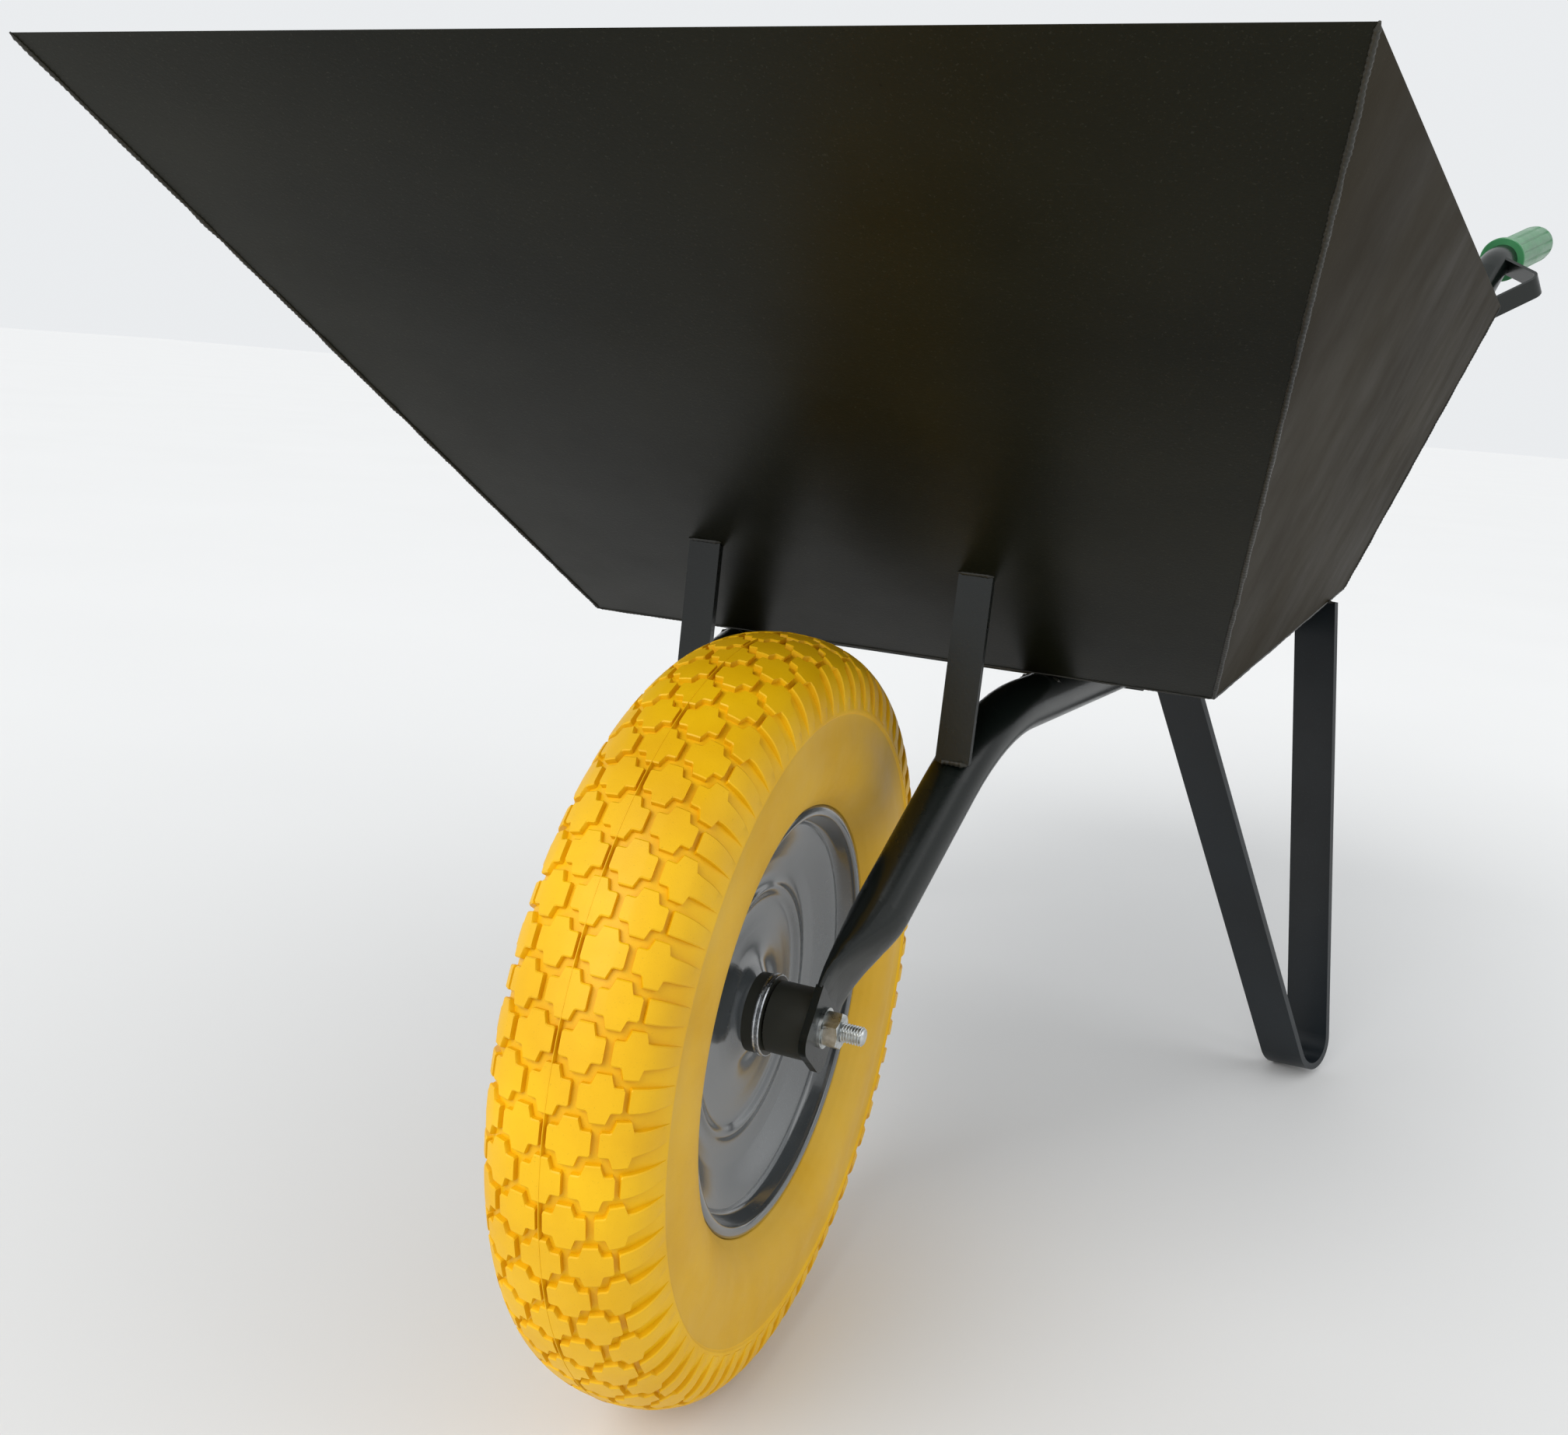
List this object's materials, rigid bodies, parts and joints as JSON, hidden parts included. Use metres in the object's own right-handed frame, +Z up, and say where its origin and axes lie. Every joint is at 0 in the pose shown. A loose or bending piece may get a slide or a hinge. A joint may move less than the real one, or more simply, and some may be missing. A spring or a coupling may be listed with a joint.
{
  "type": "wheelbarrow",
  "caption": "Wheelbarrow with a flared sheet steel tray on two bent tubes, strap legs, hand guards, plastic grips and a solid puncture-free tyre on a pressed rim",
  "frame": {"origin": "on the floor, under the middle of the overall length, on the mirror plane", "axes": "+X to the right seen from the wheel end with the grips behind, +Y from the wheel to the grips, +Z up"},
  "size_m": [0.7816, 1.4153, 0.7333],
  "materials": {
    "tray_paint": "semi-gloss dark graphite paint on sheet steel",
    "frame_paint": "satin graphite powder coat",
    "rim_enamel": "glossy grey enamel on pressed steel",
    "tyre_polyurethane": "matte yellow moulded polyurethane",
    "zinc_fastener": "bright zinc plating",
    "bearing_steel": "polished bearing steel",
    "spacer_plastic": "matte black moulded plastic",
    "grip_plastic": "green moulded plastic with lengthwise ribs"
  },
  "bodies": {
    "frame": {"axle_bolt": "zinc_fastener", "axle_nut": "zinc_fastener", "axle_sleeve": "bearing_steel", "axle_washer_left": "zinc_fastener", "axle_washer_right": "zinc_fastener", "bearing_inner_left": "bearing_steel", "bearing_inner_right": "bearing_steel", "cross_bar_front": "frame_paint", "cross_bar_rear": "frame_paint", "frame_tube_left": "frame_paint", "frame_tube_right": "frame_paint", "grip_left": "grip_plastic", "grip_right": "grip_plastic", "hand_guard_left": "frame_paint", "hand_guard_right": "frame_paint", "hub_spacer_left": "spacer_plastic", "hub_spacer_right": "spacer_plastic", "leg_left": "frame_paint", "leg_right": "frame_paint", "strut_left": "frame_paint", "strut_right": "frame_paint", "tray_floor": "tray_paint", "tray_front_plate": "tray_paint", "tray_rear_plate": "tray_paint", "tray_side_left": "tray_paint", "tray_side_right": "tray_paint"},
    "wheel": {"bearing_balls_left": "bearing_steel", "bearing_balls_right": "bearing_steel", "bearing_outer_left": "bearing_steel", "bearing_outer_right": "bearing_steel", "hub_tube": "rim_enamel", "rim_left": "rim_enamel", "rim_right": "rim_enamel", "tyre": "tyre_polyurethane"}
  },
  "joints": [
    {"name": "wheel_spin", "type": "hinge", "parent": "frame", "child": "wheel", "pos_m": [0, -0.49964, 0.195], "axis": [1, 0, 0], "continuous": true}
  ]
}
